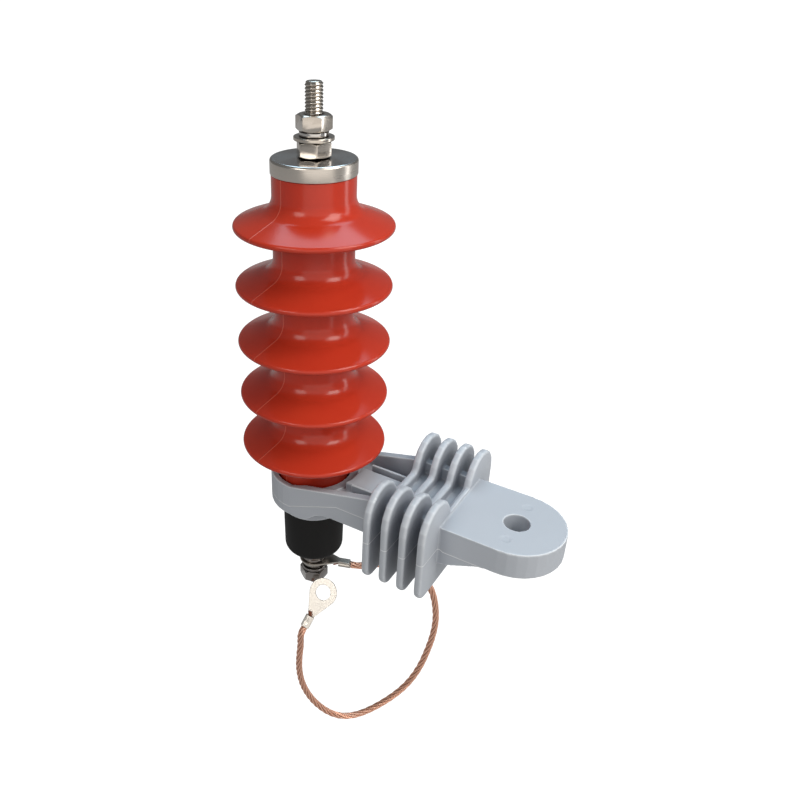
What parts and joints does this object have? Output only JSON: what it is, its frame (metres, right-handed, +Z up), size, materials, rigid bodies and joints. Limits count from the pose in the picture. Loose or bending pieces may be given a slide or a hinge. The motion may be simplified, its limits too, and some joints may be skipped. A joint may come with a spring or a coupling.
{
  "type": "distribution surge arrester",
  "caption": "Upright polymer surge arrester with round sheds on a finned insulating bracket, with a disconnector below and a stranded earth lead ending in a ring lug.",
  "frame": {"origin": "a point on the top face of the bracket's bolting pad, on the centreline, 15 mm from the bolt hole's axis towards the arrester", "axes": "+Z up along the arrester; +X along the bracket, away from the arrester; +Y across the bracket"},
  "size_m": [0.2099, 0.094, 0.457],
  "materials": {
    "grey_moulding": "satin blue-grey moulding",
    "red_silicone": "smooth red silicone rubber",
    "stainless_steel": "bright stainless steel",
    "spring_steel": "spring steel",
    "black_moulding": "matt black moulding",
    "bare_copper": "bare stranded copper",
    "tinned_copper": "tinned copper",
    "zinc_oxide": "sintered metal oxide",
    "brass": "brass"
  },
  "bodies": {
    "root": {"bracket": "grey_moulding", "shed_housing": "red_silicone", "top_cap": "stainless_steel", "line_stud": "stainless_steel", "line_jam_nut": "stainless_steel", "line_flat_washer": "stainless_steel", "line_spring_washer": "spring_steel", "line_terminal_nut": "stainless_steel", "disconnector_housing": "black_moulding", "disconnector_cover": "black_moulding", "base_nut": "stainless_steel", "earth_stud": "stainless_steel", "cartridge": "brass", "grading_resistor": "zinc_oxide", "contact_disc": "brass", "base_stud": "stainless_steel", "earth_jam_nut": "stainless_steel", "earth_plain_washer": "stainless_steel", "earth_lug": "tinned_copper", "earth_spring_washer": "spring_steel", "earth_flat_washer": "stainless_steel", "earth_nut": "stainless_steel", "earth_lead": "bare_copper", "free_lug": "tinned_copper"}
  },
  "joints": []
}
